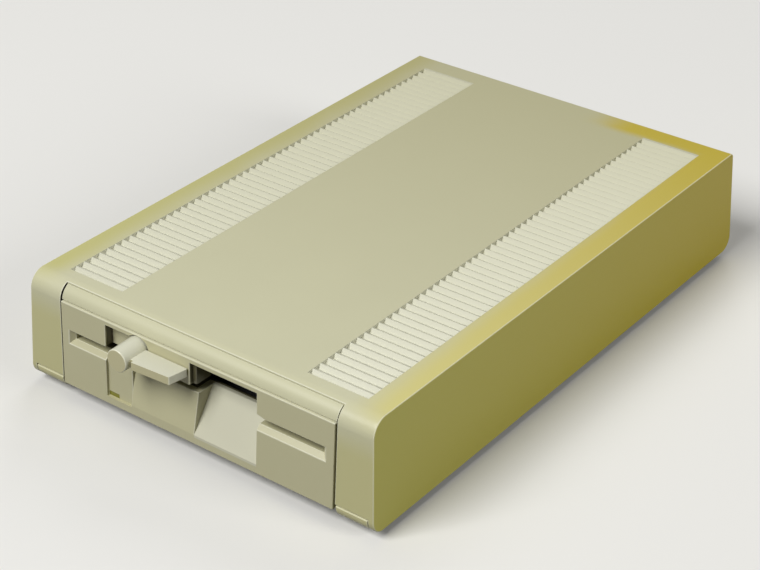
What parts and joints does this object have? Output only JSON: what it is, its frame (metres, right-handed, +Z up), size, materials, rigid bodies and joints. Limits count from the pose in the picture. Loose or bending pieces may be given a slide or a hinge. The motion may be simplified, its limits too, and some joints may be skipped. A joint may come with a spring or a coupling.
{
  "type": "external floppy disk drive",
  "caption": "Desktop floppy disk drive in a low louvred plastic case, with a wide disk slot and a quarter-turn lever that clamps the disk.",
  "frame": {"origin": "under the middle of the whole drive's box, level with the feet's soles", "axes": "+X to the right seen from the front, +Y from the front with the disk slot to the back with the connectors, +Z up"},
  "size_m": [0.1886, 0.3095, 0.0562],
  "materials": {
    "case_abs": "moulded ABS with a fine grain, yellowed with age",
    "tray_abs": "moulded ABS with a fine grain",
    "bezel_abs": "moulded ABS, satin",
    "lever_abs": "moulded ABS, satin",
    "tinted_window": "olive tinted polycarbonate",
    "lamp_epoxy": "red epoxy",
    "foot_rubber": "moulded rubber",
    "cast_aluminium": "die-cast, unpainted",
    "zinc_steel": "zinc-plated sheet",
    "ground_steel": "ground and polished",
    "black_plastic": "glass-filled plastic",
    "white_nylon": "moulded nylon",
    "turned_brass": "turned",
    "gold_contact": "plated contact",
    "copper_coil": "enamelled copper wire",
    "laminate": "glass laminate with green solder mask",
    "black_epoxy": "moulded epoxy",
    "black_paint": "black paint on steel",
    "head_ceramic": "polished ceramic",
    "cable_pvc": "grey flexible PVC",
    "can_sleeve": "shrunk PVC sleeve",
    "can_steel": "plated can",
    "fin_aluminium": "black anodised"
  },
  "bodies": {
    "case": {"activity_lamp": "lamp_epoxy", "base_tray": "tray_abs", "bezel": "bezel_abs", "capacitors": "can_sleeve", "case_screws": "zinc_steel", "clamp_pivot_pins": "ground_steel", "controller_board": "laminate", "controller_chips": "black_epoxy", "crystal": "can_steel", "disk_guides": "black_plastic", "drive_frame": "cast_aluminium", "drive_power_lead": "cable_pvc", "drive_power_plug": "white_nylon", "drive_power_socket": "white_nylon", "front_trim_bar": "case_abs", "guide_rods": "ground_steel", "heat_sink": "fin_aluminium", "index_sensor": "black_plastic", "lamp_window": "tinted_window", "logic_board": "laminate", "logic_chips": "black_epoxy", "machine_screws": "zinc_steel", "motor_board": "laminate", "power_jack": "black_plastic", "power_jack_pin": "gold_contact", "power_switch_body": "black_plastic", "regulators": "black_epoxy", "ribbon_cable": "cable_pvc", "ribbon_edge_plug": "black_plastic", "ribbon_header": "black_plastic", "ribbon_header_plug": "black_plastic", "rubber_feet": "foot_rubber", "select_switch_body": "black_plastic", "serial_pins": "gold_contact", "serial_sockets": "black_plastic", "spindle_bearings": "ground_steel", "stator_coils": "copper_coil", "stepper_motor": "black_paint", "top_cover": "case_abs", "track_zero_sensor": "black_plastic", "upper_bridge": "zinc_steel", "write_protect_switch": "black_plastic"},
    "lever": {"lever": "lever_abs", "lever_shaft": "ground_steel", "lever_crank": "black_plastic"},
    "clamp_arm": {"clamp_arm": "zinc_steel"},
    "clamp_hub": {"clamp_hub": "white_nylon", "clamp_hub_cap": "white_nylon"},
    "spindle": {"spindle_hub": "turned_brass", "spindle_rotor": "zinc_steel"},
    "carriage": {"head_carriage": "black_plastic", "lower_head": "head_ceramic", "head_arm_pin": "ground_steel"},
    "head_arm": {"upper_head_arm": "zinc_steel", "upper_head": "head_ceramic"},
    "lead_screw": {"lead_screw": "ground_steel"},
    "power_rocker": {"power_rocker": "black_plastic"},
    "select_slide_one": {"select_slide_one": "white_nylon"},
    "select_slide_two": {"select_slide_two": "white_nylon"}
  },
  "joints": [
    {"name": "lever_turn", "type": "hinge", "parent": "case", "child": "lever", "pos_m": [-0.03, -0.14115, 0.0423], "axis": [0, 1, 0], "range_deg": [0, 90]},
    {"name": "clamp_arm_swing", "type": "hinge", "parent": "case", "child": "clamp_arm", "pos_m": [0, 0.02385, 0.037], "axis": [1, 0, 0], "range_deg": [0, 4.2]},
    {"name": "clamp_hub_spin", "type": "hinge", "parent": "clamp_arm", "child": "clamp_hub", "pos_m": [0, -0.06613, 0.0406], "axis": [0, 0.0732, 0.9973], "continuous": true},
    {"name": "spindle_spin", "type": "hinge", "parent": "case", "child": "spindle", "pos_m": [0, -0.06615, 0.026], "axis": [0, 0, 1], "continuous": true},
    {"name": "head_slide", "type": "slide", "parent": "case", "child": "carriage", "axis": [0, 1, 0], "range_m": [-0.02064, 0]},
    {"name": "lead_screw_turn", "type": "hinge", "parent": "case", "child": "lead_screw", "pos_m": [0.034, 0.03285, 0.0214], "axis": [0, 1, 0], "range_deg": [0, 1170.5]},
    {"name": "head_arm_lift", "type": "hinge", "parent": "carriage", "child": "head_arm", "pos_m": [0, 0.027, 0.036], "axis": [1, 0, 0], "range_deg": [0, 5]},
    {"name": "power_rocker_tilt", "type": "hinge", "parent": "case", "child": "power_rocker", "pos_m": [-0.064, 0.14835, 0.0193], "axis": [0, 0, 1], "range_deg": [0, 24]},
    {"name": "select_slide_one_move", "type": "slide", "parent": "case", "child": "select_slide_one", "axis": [0, 0, 1], "range_m": [0, 0.0024]},
    {"name": "select_slide_two_move", "type": "slide", "parent": "case", "child": "select_slide_two", "axis": [0, 0, 1], "range_m": [0, 0.0024]}
  ],
  "couplings": [
    {"joint": "clamp_arm_swing", "follows": "lever_turn", "ratio": 0.046667},
    {"joint": "head_arm_lift", "follows": "lever_turn", "ratio": 0.055556},
    {"joint": "lead_screw_turn", "follows": "head_slide", "rad_per_m": -989.48}
  ]
}
